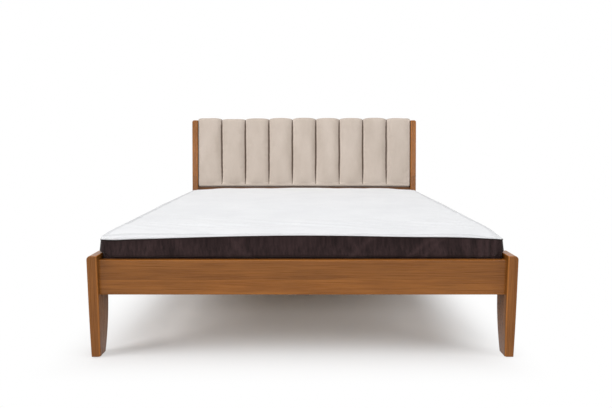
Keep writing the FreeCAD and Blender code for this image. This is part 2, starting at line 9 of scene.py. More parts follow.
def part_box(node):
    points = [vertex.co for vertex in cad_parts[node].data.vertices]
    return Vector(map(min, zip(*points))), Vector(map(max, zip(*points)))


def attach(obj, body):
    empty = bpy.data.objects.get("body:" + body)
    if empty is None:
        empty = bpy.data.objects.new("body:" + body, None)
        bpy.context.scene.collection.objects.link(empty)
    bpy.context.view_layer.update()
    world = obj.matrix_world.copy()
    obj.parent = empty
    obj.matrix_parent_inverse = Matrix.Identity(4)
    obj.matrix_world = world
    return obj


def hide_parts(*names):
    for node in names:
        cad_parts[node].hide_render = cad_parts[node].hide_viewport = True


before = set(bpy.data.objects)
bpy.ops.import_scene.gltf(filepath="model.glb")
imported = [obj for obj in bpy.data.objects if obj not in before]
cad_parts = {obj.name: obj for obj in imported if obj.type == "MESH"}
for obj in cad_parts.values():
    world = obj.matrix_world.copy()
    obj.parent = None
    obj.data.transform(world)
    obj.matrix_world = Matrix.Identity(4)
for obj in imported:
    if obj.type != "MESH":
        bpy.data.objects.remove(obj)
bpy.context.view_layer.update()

# The looks of a wooden double bed with a channelled headboard and a mattress. Metres, in the frame
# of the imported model: Z up from the floor, Y from the foot end to the headboard, X to the right.

scene = bpy.context.scene
mm = 0.001

# Places read from the frame
leg_low, leg_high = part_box("front_leg_right")
post_low, post_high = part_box("headboard_post_right")
rail_low, rail_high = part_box("side_rail_right")
mattress_low, mattress_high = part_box("mattress_bottom_panel")

# Legs and posts
foot_depth = 66 * mm
inner_taper = 3 * mm
outer_taper = 2.5 * mm
leg_edge_radius = 4 * mm
inner_front_radius = 9 * mm
outer_top_radius = 15 * mm
sole_radius = 1 * mm
straight_post_depth = 106 * mm
post_top_depth = 68 * mm
bend_height = 80 * mm
lean = math.radians(5.74)

# Headboard panel, square to its lean
panel_half = 798 * mm
panel_low = 18.3 * mm
seam_top = 526 * mm
crown_rise = 14 * mm
crown_front = 8 * mm
seam_front = 35 * mm
side_roll = 8 * mm
board_rear = 54.7 * mm
board_top = 523 * mm
cover_edge_radius = 4 * mm
cover_bottom_roll = 14 * mm
cover_front_rise = 5 * mm
channel_start, channel_fade = 8 * mm, 12 * mm
back_overlap = 2 * mm
cloth_half_width = 786 * mm
cloth_top = 511 * mm
cloth_depth = 55.25 * mm
cloth_thickness = 0.4 * mm
staple_depth = 55.8 * mm
screw_radius = 4 * mm
channel_count = 9
channel_width = 2 * panel_half / channel_count
crown_shares = (1, 0.5, 0.85, 1, 1.1, 1, 1, 1.1, 1)

# Mattress, with places measured from its middle
middle = (mattress_low + mattress_high) / 2
middle.z = 0
half_x, half_y = (mattress_high.x - mattress_low.x) / 2, (mattress_high.y - mattress_low.y) / 2
corner_radius = 20 * mm
straight_x, straight_y = half_x - corner_radius, half_y - corner_radius
lower_seam = mattress_low.z + 13 * mm
corner_seam_height = 465.5 * mm
seam_bow = 16.5 * mm
swell_reach = 12 * mm
foot_end_reach = 8 * mm
seam_reach = 3.3 * mm
lean_left = 3.2 * mm
top_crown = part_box("mattress_top")[1].z + 2 * mm
floor_roll = 6 * mm
closing_inset = 0.8 * corner_radius


# Numbers


def clamped(value):
    return min(1, max(0, value))


def bell(distance, width):
    """1 at no distance, falling off softly to both sides."""
    return math.exp(-((distance / width) ** 2))


def fading(distance, reach):
    """1 at no distance, falling off ever more slowly."""
    return math.exp(-distance / reach)


def tent(distance, reach):
    """1 at no distance, falling straight to 0 on both sides."""
    return max(0, 1 - abs(distance) / reach)


def noise_at(x, y, z):
    return noise.noise(Vector((x, y, z)))


def arc(steps, start=0, sweep=90):
    """The cosine and sine at even steps of a turn, its end among them."""
    turns = [math.radians(start + sweep * step / steps) for step in range(steps + 1)]
    return [(math.cos(turn), math.sin(turn)) for turn in turns]


def circle(steps, start=0):
    return arc(steps, start, 360)[:-1]


# Mesh making


def assign(thing, **values):
    """Sets several attributes at once."""
    for key, value in values.items():
        setattr(thing, key, value)


def new_object(name, data):
    made = bpy.data.objects.new(name, data)
    scene.collection.objects.link(made)
    return made


def new_piece(name, points, faces, body, *materials):
    """A smooth mesh that rides on a body, with its materials."""
    mesh = bpy.data.meshes.new(name)
    mesh.from_pydata([tuple(p) for p in points], [], faces)
    shape = bmesh.new()
    shape.from_mesh(mesh)
    bmesh.ops.recalc_face_normals(shape, faces=shape.faces)
    shape.to_mesh(mesh)
    shape.free()
    mesh.polygons.foreach_set("use_smooth", [True] * len(mesh.polygons))
    made = new_object(name, mesh)
    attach(made, body)
    for material in materials:
        mesh.materials.append(material)
    return made


def mark_painted_light(piece, share_at):
    """Gives each point its share of painted shade or painted highlight at a seam, crease or fold,
    for the cloth's material.
    """
    layer = piece.data.attributes.new("seam", "FLOAT", "POINT")
    layer.data.foreach_set("value", [share_at(vertex.co) for vertex in piece.data.vertices])


def keep_flats(piece):
    """Leaves broad faces flat where they meet a rounded edge."""
    piece.modifiers.new("flats", "WEIGHTED_NORMAL").keep_sharp = True


def joined_rings(rings, is_band=False):
    """Quads between rings of as many points each, in a band also from the last to the first."""
    count, total = len(rings[0]), len(rings) * len(rings[0])
    faces = []
    for low in range(0, total if is_band else total - count, count):
        high = (low + count) % total
        for place in range(count):
            after = (place + 1) % count
            faces.append((low + place, low + after, high + after, high + place))
    return faces


def grid_faces(columns, rows):
    """Quads of a grid whose points run row by row."""
    faces = []
    for row in range(rows - 1):
        for column in range(columns - 1):
            first = row * columns + column
            faces.append((first, first + 1, first + columns + 1, first + columns))
    return faces


def joined(parts):
    """Points and faces of several parts together."""
    points, faces = [], []
    for more_points, more_faces in parts:
        first = len(points)
        points += more_points
        faces += [tuple(first + index for index in face) for face in more_faces]
    return points, faces


def capped_loft(rings):
    """Points and faces of a closed loft through level rings."""
    count = len(rings[0])
    points = [p for ring in rings for p in ring]
    faces = joined_rings(rings)
    faces.append(tuple(range(count))[::-1])
    faces.append(tuple(range(len(points) - count, len(points))))
    return points, faces


def rounded_ring(x_low, x_high, y_low, y_high, z, radius, inner_radius):
    """A level ring with round corners; the one at the low X and low Y has its own radius."""
    most = min(x_high - x_low, y_high - y_low) / 2.01
    radius, inner_radius = min(radius, most), min(inner_radius, most)
    corners = (
        (x_high, y_low, -1, 1, radius, -90),
        (x_high, y_high, -1, -1, radius, 0),
        (x_low, y_high, 1, -1, radius, 90),
        (x_low, y_low, 1, 1, inner_radius, 180),
    )
    ring = []
    for x, y, inward_x, inward_y, size, start in corners:
        for cos, sin in arc(6, start):
            ring.append(Vector((x + size * (inward_x + cos), y + size * (inward_y + sin), z)))
    return ring


def rounding_loss(distance, radius):
    """How far a rounded edge has drawn in a face at a distance from the edge."""
    short = min(radius, max(0, radius - distance))
    return radius - math.sqrt(radius ** 2 - short ** 2)


# Legs and posts


def upright_heights(top):
    """Heights for the rings of a leg or post, close together where its edges are rounded."""
    quarter = [sin for cos, sin in arc(6)]
    heights = {round(leg_low.z + sole_radius * (1 - q), 6) for q in quarter}
    for radius in (outer_top_radius, leg_edge_radius):
        heights |= {round(top - radius * (1 - q), 6) for q in quarter}
    spacing = 11 * mm
    count = int((top - leg_low.z) / spacing)
    for step in range(1, count):
        z = leg_low.z + spacing * step
        if z < top - outer_top_radius - spacing / 2:
            heights.add(round(z, 6))
    return sorted(heights)


def upright_rings(top, faces_at):
    """Rings of a right-hand leg or post whose front and rear a function gives at a height."""
    rings = []
    for z in upright_heights(top):
        # The taper's share: all at the sole, none at the rails
        lost = (1 - min(1, (z - leg_low.z) / (rail_low.z - leg_low.z))) ** 2
        front, rear = faces_at(z, lost)
        sole = rounding_loss(z - leg_low.z, sole_radius)
        small = sole + rounding_loss(top - z, leg_edge_radius)
        large = sole + rounding_loss(top - z, outer_top_radius)
        inner = leg_low.x + inner_taper * lost + small
        outer = leg_high.x - outer_taper * lost - large
        radii = leg_edge_radius, inner_front_radius
        rings.append(rounded_ring(inner, outer, front + small, rear - small, z, *radii))
    return rings


def leg_faces(z, lost):
    return leg_low.y, leg_high.y - (leg_high.y - leg_low.y - foot_depth) * lost


def post_faces(z, lost):
    """Front and rear of a post at a height: a sabre foot, a straight part, a bend and a lean."""
    rise = max(0, z - rail_high.z)
    slope = math.tan(lean)
    front = slope * (rise - bend_height / 2)
    if rise < bend_height:
        front = slope * rise ** 2 / (2 * bend_height)
    whole_rise = post_high.z - rail_high.z
    top_rear = slope * (whole_rise - bend_height / 2) + post_top_depth
    rear = straight_post_depth + (top_rear - straight_post_depth) * rise / whole_rise
    foot = (straight_post_depth - foot_depth) * lost
    return post_low.y + front + foot, post_low.y + rear


def make_uprights(leg_material, post_material):
    for name, node, top, faces_at, material in (
        ("leg", "front_leg", leg_high.z, leg_faces, leg_material),
        ("post", "headboard_post", post_high.z, post_faces, post_material),
    ):
        points, faces = capped_loft(upright_rings(top, faces_at))
        mirrored = [Vector((-p.x, p.y, p.z)) for p in points]
        for side, placed in (("right", points), ("left", mirrored)):
            piece = new_piece(f"{name}_{side}", placed, faces, "bed_frame", material)
            keep_flats(piece)
            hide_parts(f"{node}_{side}")


# Headboard upholstery

panel_origin = Vector((0, post_low.y + math.tan(lean) * bend_height / 2, rail_high.z + bend_height))
panel_matrix = Matrix.Translation(panel_origin) @ Matrix.Rotation(-lean, 4, "X")


def channel_place(x):
    """A place across the panel in channels from its left side."""
    return (x + panel_half) / (2 * panel_half) * channel_count


def channel_share(x):
    """The place across a channel, from 0 at its left seam to 1 at its right seam."""
    return channel_place(x) % 1


def at_panel_side(x):
    """True in the outer half of the two end channels, which roll round the side of the board."""
    return abs(x) > panel_half * (1 - 1 / channel_count)


def channel_fullness(x, sharpness):
    """From 0 at a channel's seams to 1 at its middle."""
    share = channel_share(min(x, panel_half - mm / 100))
    return max(0, 1 - abs(2 * share - 1) ** sharpness) ** (1 / sharpness)


def channel_columns():
    """Places across the panel, closest together at the seams."""
    shares = [0, 0.008, 0.022, 0.045, 0.08, 0.13, 0.19, 0.26, 0.34, 0.42, 0.5]
    shares += [1 - s for s in reversed(shares[1:-1])]
    columns = [-panel_half + channel_width * (n + s) for n in range(channel_count) for s in shares]
    return columns + [panel_half]


def cover_loop(x):
    """The cover's closed section at a place across: (depth, height) from the bottom rear."""
    at_side = at_panel_side(x)
    squeeze = rounding_loss(panel_half - abs(x), cover_edge_radius)
    rolled = rounding_loss(panel_half - abs(x), side_roll)
    full = channel_fullness(x, 2.3)
    front = seam_front - (seam_front - crown_front) * full
    nose = crown_front + 3 * mm + rolled
    if at_side:
        front = crown_front + 4 * mm * (1 - full) + rolled
        nose = max(front, nose)
    crown_share = crown_shares[min(channel_count - 1, int(channel_place(x)))]
    rise = crown_rise * crown_share * channel_fullness(x, 3 if at_side else 2.6)
    top = seam_top + rise - squeeze
    low, rear = panel_low + squeeze, board_rear - squeeze
    roll, front_low = cover_bottom_roll, low + cover_front_rise
    loop = []
    for step in range(5):
        depth = rear - (rear - nose - roll) * step / 5
        loop.append((depth, low + (front_low - low) * step / 5))
    loop += [(nose + roll * (1 - sin), front_low + roll * (1 - cos)) for cos, sin in arc(8)]
    crown = (14 + 12 * full) * mm
    rows = 52
    start, end = front_low + roll, top - crown
    for step in range(1, rows):
        z = start + (end - start) * step / rows
        opened = clamped((z - start - channel_start) / channel_fade)
        opened = opened * opened * (3 - 2 * opened)
        loop.append((nose + (front - nose) * opened, z))
    loop += [(front + crown * (1 - cos), end + crown * sin) for cos, sin in arc(12)]
    edge = front + crown
    for step in range(1, 6):
        share = step / 6
        drop = (top - board_top + back_overlap) * share ** 2
        loop.append((edge + (rear - edge) * share, top - drop))
    back_start = board_top - back_overlap - squeeze
    for step in range(24):
        loop.append((rear, back_start + (low + mm - back_start) * step / 24))
    return loop


def closing_ring(ring, share):
    """A copy of an end section drawn in towards its own middle line, to close the end."""
    depth = sum(p.y for p in ring) / len(ring)
    low = min(p.z for p in ring) + side_roll
    high = max(p.z for p in ring) - side_roll
    return [p.lerp(Vector((p.x, depth, min(max(p.z, low), high))), share) for p in ring]


def make_upholstery(material):
    """The padded cover round the board: channels in front, pulled over its edges to the back."""
    rings = [[Vector((x, *place)) for place in cover_loop(x)] for x in channel_columns()]
    shares = (0.3, 0.6, 0.85)
    first = [closing_ring(rings[0], share) for share in reversed(shares)]
    last = [closing_ring(rings[-1], share) for share in shares]
    points, faces = capped_loft(first + rings + last)
    piece = new_piece("headboard_cover", points, faces, "bed_frame", material)
    mark_painted_light(piece, cover_painted_seam_light)
    simulate_cover(piece)
    pucker_cover(piece)
    piece.data.transform(panel_matrix)
    smooth = piece.modifiers.new("smooth", "SUBSURF")
    smooth.levels = smooth.render_levels = 1
    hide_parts("headboard_cushion", "panel_board")


def seam_distance(x):
    """The distance to the nearest sewn seam, which the panel's two sides are not."""
    if at_panel_side(x):
        return panel_half * (2 / channel_count - 1) + abs(x)
    share = channel_share(x)
    return min(share, 1 - share) * channel_width


def cover_painted_seam_light(place):
    """Painted shade: 1 in a seam and a little on its left flank, which turns right, and below 0 for
    a painted highlight on the pile right of it.
    """
    at_bottom = place.z < panel_low + 22 * mm
    beside_post = abs(abs(place.x) - panel_half) < 20 * mm
    if place.y > seam_front + 4 * mm or at_bottom or beside_post:
        return 0
    share = channel_share(place.x)
    offset = (share if share < 0.5 else share - 1) * channel_width
    line = 1.5 * tent(offset + mm, 3.9 * mm)
    shade = 0.12 * tent(offset + 8 * mm, 26 * mm) if offset < 0 else 0
    return min(1, max(line, shade)) - tent(offset - 8 * mm, 6 * mm)


def simulate(piece, is_held, limit, pressure, slack, frames):
    """Runs a piece as cloth, kept within a limit of its first places, and gives those places."""
    rest = [v.co.copy() for v in piece.data.vertices]
    held = piece.vertex_groups.new(name="held")
    held.add([v.index for v in piece.data.vertices if is_held(v.co)], 1, "REPLACE")
    modifier = piece.modifiers.new("cloth", "CLOTH")
    assign(
        modifier.settings, quality=4, mass=0.3, tension_stiffness=20, compression_stiffness=20,
        shear_stiffness=10, bending_stiffness=0.3, use_pressure=True,
        uniform_pressure_force=pressure, vertex_group_mass=held.name, shrink_min=-slack,
    )
    modifier.settings.effector_weights.gravity = 0
    modifier.collision_settings.use_collision = False
    assign(modifier.point_cache, frame_start=1, frame_end=frames)
    for number in range(1, frames + 1):
        scene.frame_set(number)
    evaluated = piece.evaluated_get(bpy.context.evaluated_depsgraph_get())
    coords = np.empty(len(rest) * 3, np.float32)
    evaluated.data.vertices.foreach_get("co", coords)
    piece.modifiers.remove(modifier)
    scene.frame_set(1)
    piece.data.vertices.foreach_set("co", coords)
    piece.data.update()
    for vertex, start in zip(piece.data.vertices, rest):
        move = vertex.co - start
        if move.length > limit:
            vertex.co = start + move * (limit / move.length)
    return rest


def simulate_cover(piece):
    """Blows the channels out a little, less towards the bottom so that no crease is left."""
    held_top, freed_over, margin = panel_low + 11 * mm, 55 * mm, 6 * mm

    def is_held(place):
        at_edge = place.y > board_rear - margin or abs(place.x) > panel_half - margin
        return seam_distance(place.x) < mm or at_edge or place.z < held_top

    rest = simulate(piece, is_held, 5 * mm, pressure=1.2, slack=0.012, frames=12)
    for vertex, start in zip(piece.data.vertices, rest):
        vertex.co = start + (vertex.co - start) * clamped((start.z - held_top) / freed_over)


def pucker_cover(piece):
    """Small puckers where the fabric runs into the seams and over the top edge."""
    for vertex in piece.data.vertices:
        x, y, z = vertex.co
        if y > board_rear - 8 * mm:
            continue
        away = seam_distance(x)
        puckers = 1.1 * noise_at(x * 9, 0.3, z * 75) * fading(away, 13 * mm)
        broad = 1.2 * noise_at(x * 7, 2.1, z * 5)
        lines = 0.7 * noise_at(x * 110, 5.2, z * 6) * fading(abs(z - seam_top), 30 * mm)
        vertex.co.y += (puckers + broad + lines) * min(1, away / (3 * mm)) * mm
        seam = round(channel_place(x))
        sway = noise_at(seam * 4.3, z * 7, 1.6)
        vertex.co.x += 2.6 * mm * sway * fading(away, 22 * mm)


# Back of the headboard


def make_back_sheet(material):
    """The thin cloth stapled over the back of the board, a little slack between its staples."""
    low_x, high_x, low_z, high_z = -cloth_half_width, cloth_half_width, panel_low, cloth_top
    wide, tall = 132, 42
    points = []
    for row in range(tall + 1):
        for column in range(wide + 1):
            x = low_x + (high_x - low_x) * column / wide
            z = low_z + (high_z - low_z) * row / tall
            edge = min(x - low_x, high_x - x, high_z - z)
            puckers = 0.2 * fading(edge, 30 * mm) * noise_at(x * 34, z * 34, 6)
            slack = 0.14 * noise_at(x * 5, z * 9, 3)
            points.append(Vector((x, cloth_depth + (slack + puckers) * mm, z)))
    faces = grid_faces(wide + 1, tall + 1)
    piece = new_piece("back_cloth", points, faces, "bed_frame", material)
    piece.data.transform(panel_matrix)
    assign(piece.modifiers.new("body", "SOLIDIFY"), thickness=cloth_thickness, offset=0)
    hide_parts("panel_back_cover")


# The rings of half a staple from its end: share of its half length, sunk and thick in mm
staple_end = (1, 0.6, 0.35), (0.94, 0.1, 0.5), (0.8, 0, 0.55)


def staple(place, along):
    """Rings of a staple's crown, with its two ends turned down into the board."""
    half_length = 5 * mm
    across, inward = Vector((-along.z, 0, along.x)), Vector((0, 1, 0))
    rings = []
    other_end = [(-share, sunk, size) for share, sunk, size in staple_end]
    for share, sunk, size in (*other_end, *reversed(staple_end)):
        center = place + along * (share * half_length) - inward * (sunk * mm)
        size *= mm
        rings.append([center + (across * cos + inward * sin) * size for cos, sin in circle(8)])
    return rings


def make_staples(material):
    """Staples along the top and the two sides of the back cloth, but not behind the upper rail."""
    along_x, along_z = Vector((1, 0, 0)), Vector((0, 0, 1))
    upper_rail = range(297, 368)
    rows = [(Vector((x * mm, staple_depth, 503 * mm)), along_x) for x in range(-756, 757, 54)]
    for x in (-779 * mm, 779 * mm):
        for height in range(68, 480, 48):
            if height not in upper_rail:
                rows.append((Vector((x, staple_depth, height * mm)), along_z))
    points, faces = joined(capped_loft(staple(place, along)) for place, along in rows)
    piece = new_piece("back_staples", points, faces, "bed_frame", material)
    piece.data.transform(panel_matrix)


# Screws

# The rings of a screw's head from its rim to its middle: share of its radius and of its height
head_profile = (
    (0.98, -0.3), (1, 0.1), (0.93, 0.45), (0.75, 0.75),
    (0.6, 0.9), (0.55, 0.94), (0.3, 1), (0.08, 1),
)


def screw_head(place, out, proud, turned):
    """A domed screw head with a cross recess, standing proud of a surface."""
    side = out.orthogonal().normalized()
    other = out.cross(side)
    rings = []
    for share, height in head_profile:
        ring = []
        for sector, (cos, sin) in enumerate(circle(32, math.degrees(turned))):
            from_arm = abs((sector + 4) % 8 - 4)
            sunk = share < 0.6 and (from_arm <= 1 or share < 0.25)
            rise = 0.25 * proud if sunk else height * proud
            flat = side * cos + other * sin
            ring.append(place + flat * (share * screw_radius) + out * rise)
        rings.append(ring)
    return capped_loft(rings)


def screw_places():
    """Place, direction and rise of the screw heads on the slats, ledges and beam shoes."""
    heads = []
    slat_count, ledge_screws, ledge_spacing = 14, 6, 361 * mm
    for number in range(1, slat_count + 1):
        low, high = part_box(f"slat_{number:02d}")
        center = (low.y + high.y) / 2
        for side in (-1, 1):
            for offset in (-20 * mm, 20 * mm):
                place = Vector((side * (high.x - 9.5 * mm), center + offset, high.z))
                heads.append((place, Vector((0, 0, 1)), 0.25 * mm))
    low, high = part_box("slat_ledge_right")
    for side in (-1, 1):
        for number in range(ledge_screws):
            y = low.y + 60 * mm + ledge_spacing * number
            place = Vector((side * low.x, y, (low.z + high.z) / 2))
            heads.append((place, Vector((-side, 0, 0)), 0.8 * mm))
    plate = 2.5 * mm
    for node, toward in (("beam_shoe_foot", 1), ("beam_shoe_head", -1)):
        low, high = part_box(node)
        face = low.y + plate if toward > 0 else high.y - plate
        for side in (-1, 1):
            for height in (12 * mm, 31 * mm):
                place = Vector((side * (high.x - 8 * mm), face, low.z + height))
                heads.append((place, Vector((0, toward, 0)), 1.6 * mm))
    return heads


def make_screws(material):
    heads = enumerate(screw_places())
    points, faces = joined(screw_head(*head, 1.3 * number) for number, head in heads)
    piece = new_piece("wood_screws", points, faces, "bed_frame", material)


# Mattress


def over_corner(x, y):
    """How far a place lies past the centre of the nearest round corner, along X and along Y."""
    return abs(x) - straight_x, abs(y) - straight_y


def inset_at(x, y):
    """The distance in from the outline."""
    over_x, over_y = over_corner(x, y)
    if over_x > 0 and over_y > 0:
        return corner_radius - math.hypot(over_x, over_y)
    return corner_radius - max(over_x, over_y)


def outward(x, y):
    """The level direction straight out at a place near the outline."""
    over_x, over_y = over_corner(x, y)
    if over_x > 0 and over_y > 0:
        return Vector((math.copysign(over_x, x), math.copysign(over_y, y), 0)).normalized()
    if over_x > over_y:
        return Vector((math.copysign(1, x), 0, 0))
    return Vector((0, math.copysign(1, y), 0))


def upper_seam(x, y):
    """The height of the upper seam, which bows up between the corners."""
    over_x, over_y = over_corner(x, y)
    share = abs(y) / half_y if over_x > over_y else abs(x) / half_x
    bow = math.cos(math.pi / 2 * min(1, share)) ** 1.5
    ease = min(1, abs(over_x - over_y) / (60 * mm))
    height = corner_seam_height + seam_bow * bow * (0.75 + 0.25 * ease)
    if y < 0 and over_y > over_x:
        raised = 5 * bell(x - 0.62, 0.16) - 1.8 * bell(x + 0.735, 0.04)
        height += raised * mm * min(1, (over_y - over_x) / (30 * mm))
    return height


def outline(spacing):
    """Places once round the outline, evenly spaced on the sides and closer at the corners."""
    places = []
    corners = (1, -1, -90, (0, 1)), (1, 1, 0, (-1, 0)), (-1, 1, 90, (0, -1)), (-1, -1, 180, (1, 0))
    for side_x, side_y, start, run in corners:
        center = Vector((side_x * straight_x, side_y * straight_y))
        places += [center + corner_radius * Vector(way) for way in arc(10, start)]
        length = 2 * (straight_x if run[0] else straight_y)
        count = round(length / spacing)
        last = places[-1].copy()
        places += [last + Vector(run) * (length * n / count) for n in range(1, count)]
    return places


def round_corner(x, y):
    """Moves a place of a square-cornered grid so that the grid's corners are round."""
    over_x, over_y = over_corner(x, y)
    if over_x <= 0 or over_y <= 0:
        return x, y
    u, v = over_x / corner_radius, over_y / corner_radius
    return (
        math.copysign(abs(x) - over_x * (1 - math.sqrt(1 - v * v / 2)), x),
        math.copysign(abs(y) - over_y * (1 - math.sqrt(1 - u * u / 2)), y),
    )


def grid_lines(half, cell):
    """Places of grid lines from one side to the other, close together along both edges."""
    edge = [inset * mm for inset in (0, 0.7, 1.8, 3.4, 5.5, 8, 11, 14.5, 18, 22.5, 28, 36, 46)]
    between = 2 * (half - edge[-1])
    count = round(between / cell)
    inner = [-half + edge[-1] + between * n / count for n in range(1, count)]
    return [-half + e for e in edge] + inner + [half - e for e in reversed(edge)]


def top_relief(x, y):
    """Soft, shallow unevenness and the long wrinkles that lie across near the foot end."""
    broad = noise_at(x * 2.3, y * 2.3, 4.2)
    bend = 0.9 * noise_at(x * 3, y * 4, 8)
    shade = noise_at(x * 1.9 + bend, y * 17 + x * 7, 1.7)
    near_foot = bell(y + half_y - 0.24, 0.13)
    elsewhere = 0.25 + 0.2 * noise_at(x * 2, y * 2, 9)
    crest = max(0, 1 - 3.2 * abs(shade)) ** 2
    return (1.2 * broad + crest * (6 * near_foot + 2 * elsewhere)) * mm


def corner_droop(x, y):
    """How far the top sinks towards the nearest corner, over a longer way at the head end."""
    if y > 0:
        depth, reach = 17 * mm, 120 * mm
    elif x > 0:
        depth, reach = 14 * mm, 110 * mm
    else:
        depth, reach = 5 * mm, 65 * mm
    away = math.hypot(half_x - abs(x), half_y - abs(y))
    head_end = clamped((y / half_y - 0.8) / 0.2)
    tucked = 13 * mm * bell(away, 60 * mm) if y > 0 and x <= 0 else 0
    return depth * bell(away, reach) + 4 * mm * head_end ** 2 + tucked


def top_height(x, y):
    """The white top's height: level, with a firm edge that turns down to the seam."""
    inset = inset_at(x, y)
    seam = upper_seam(x, y)
    shoulder, fullness = 9 * mm, 2.4
    edge = (1 - (1 - clamped(inset / shoulder)) ** fullness) ** (1 / fullness)
    crease = 2.2 * mm * bell(inset - 18 * mm, 6 * mm)
    inner = clamped((inset - 16 * mm) / (60 * mm))
    rise = max(1.5 * mm, top_crown - corner_droop(x, y) - seam)
    return seam + rise * edge - crease + top_relief(x, y) * inner


def make_top(material):
    """The white quilted top: a closed pad whose underside lies in the border's opening."""
    cell, pull_reach = 15 * mm, 40 * mm
    xs, ys = grid_lines(half_x, cell), grid_lines(half_y, cell)
    points = []
    for y in ys:
        for x in xs:
            px, py = round_corner(x, y)
            place = Vector((px, py, top_height(px, py)))
            pull = max(0, 1 - inset_at(px, py) / pull_reach)
            out = upper_edge_reach(px, py) * pull
            points.append(place + middle + outward(px, py) * out)
    wide = len(xs)
    faces = grid_faces(wide, len(ys))
    rows = [list(range(first, first + wide)) for first in range(0, len(points), wide)]
    edge = rows[0] + [row[-1] for row in rows[1:]]
    edge += rows[-1][-2::-1] + [row[0] for row in rows[-2:0:-1]]
    close_under(points, faces, edge)
    piece = new_piece("mattress_top_quilt", points, faces, "mattress", material)
    mark_painted_light(piece, top_painted_shade)
    simulate_top(piece)
    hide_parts("mattress_top")


def top_painted_shade(place):
    """Painted shade: 1 in the crease behind the firm edge of the top, and somewhat less on the edge
    band itself.
    """
    inset = inset_at(*(place - middle).xy)
    edge = 0.85 * clamped((15 * mm - inset) / (5 * mm))
    return edge + (1 - edge) * bell(inset - 17 * mm, 6 * mm)


def close_under(points, faces, edge):
    """Closes the underside of the top with a flange that slopes in to a level panel."""
    ring = edge
    flange, panel_drop = 6 * mm, 5 * mm
    for inset, is_panel in ((flange, False), (closing_inset, True)):
        following = []
        for index in edge:
            place = points[index] - middle
            inner = place - outward(place.x, place.y) * inset
            inner.z = corner_seam_height - panel_drop if is_panel else upper_seam(place.x, place.y)
            following.append(len(points))
            points.append(inner + middle)
        for n in range(len(edge)):
            after = (n + 1) % len(edge)
            faces.append((ring[n], ring[after], following[after], following[n]))
        ring = following
    faces.append(tuple(ring))


def simulate_top(piece):
    """Gives the top a little slack and pressure, held along its seam and underneath."""

    def is_held(place):
        level = place - middle
        return inset_at(level.x, level.y) < 6 * mm or place.z < top_crown - 12 * mm

    simulate(piece, is_held, 3 * mm, pressure=0.3, slack=0.003, frames=8)


# Each fold of the dark border: its place along the side, its slant, width and height
front_folds = (
    (-0.29, 0.9, 0.012, 1.4), (-0.215, -1.1, 0.016, 2.2), (0.19, 1.3, 0.016, 2.6),
    (0.235, -0.8, 0.012, 1.6), (0.41, 1.6, 0.015, 2.6), (0.475, 1.2, 0.012, 2.2),
    (0.55, -0.5, 0.02, 1.8), (0.7, 0.15, 0.0085, 4.2), (0.727, 0.1, 0.0075, 4),
    (0.752, 0.15, 0.0075, 3.4), (0.655, -0.1, 0.01, 2.4), (-0.62, 0.5, 0.016, 1.4),
    (-0.46, -0.7, 0.02, 1.2),
)


def border_folds(x, y, share):
    """How far the border's soft folds stand out at a place and a share of its height."""
    height = (share - 0.5) * 140 * mm
    over_x, over_y = over_corner(x, y)
    total = 0
    if y < 0 and over_y > over_x:
        for place, slant, width, tall in front_folds:
            total += tall * bell(x - place - slant * height, width)
    along, side = (y, 3) if over_x > over_y else (x, 7)
    slanted = noise_at(along * 9 + height * 5, side, height * 9)
    broad = noise_at(along * 3.1, side, height * 6)
    fine = noise_at(along * 55, side, height * 5)
    return (2 * total + 2.4 * slanted + 1.6 * broad + 0.9 * fine) * mm


def fold_painted_light(place):
    """A place's share of painted light on a border fold: 1 for a painted highlight on a tall one's
    crest, below 0 for painted shade between folds.
    """
    x, y, z = place - middle
    share = (z - lower_seam) / (upper_seam(x, y) - lower_seam)
    if not 0 < share < 1:
        return 0
    return min(1, max(-0.5, border_folds(x, y, share) / (7 * mm)))


def make_border(*materials):
    """The dark border with its soft folds, closed by the bottom panel and under the top."""
    places = outline(6 * mm)

    def drawn_in(inset, height_at):
        return [Vector((*(p - outward(*p).xy * inset), height_at(*p))) for p in places]

    part = 0.3 * floor_roll
    rings = []
    for inset, rise in ((closing_inset, 0), (floor_roll, 0), (part, part), (0, floor_roll)):
        rings.append(drawn_in(inset, lambda x, y: mattress_low.z + rise))
    levels = 30
    for level in range(levels + 1):
        share = level / levels
        ring = []
        for x, y in places:
            z = lower_seam + (upper_seam(x, y) - lower_seam) * share
            free = math.sin(math.pi * share) ** 0.6 if 0 < share < 1 else 0
            out = border_reach(x, y, z)
            out += border_folds(x, y, share) * free * risen_share(x, y, z)
            ring.append(Vector((x, y, z)) + outward(x, y) * out)
        rings.append(ring)
    rings.append(drawn_in(6 * mm, lambda x, y: upper_seam(x, y) - 1.5 * mm))
    rings.append(drawn_in(closing_inset, lambda x, y: corner_seam_height - 8 * mm))
    points, faces = capped_loft([[p + middle for p in ring] for ring in rings])
    piece = new_piece("mattress_side_border", points, faces, "mattress", *materials)
    mark_painted_light(piece, fold_painted_light)
    vertices, under = piece.data.vertices, mattress_low.z + floor_roll / 2
    for polygon in piece.data.polygons:
        if max(vertices[v].co.z for v in polygon.vertices) < under:
            polygon.material_index = 1
    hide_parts("mattress_bottom_panel", "mattress_border", "mattress_core")


def make_tape(name, node, height_at, reach, material):
    """A bound edge: a slim, rounded band along the outline."""
    half_height, half_depth = Vector((0, 0, 3 * mm)), 1.8 * mm
    rings = []
    for x, y in outline(8 * mm):
        out = outward(x, y)
        center = Vector((x, y, height_at(x, y))) + middle + out * reach(x, y)
        out *= half_depth
        rings.append([center + out * cos + half_height * sin for cos, sin in circle(10)])
    points = [p for ring in rings for p in ring]
    faces = joined_rings(rings, is_band=True)
    piece = new_piece(name, points, faces, "mattress", material)
    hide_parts(node)


def upper_edge_reach(x, y):
    return border_reach(x, y, upper_seam(x, y))


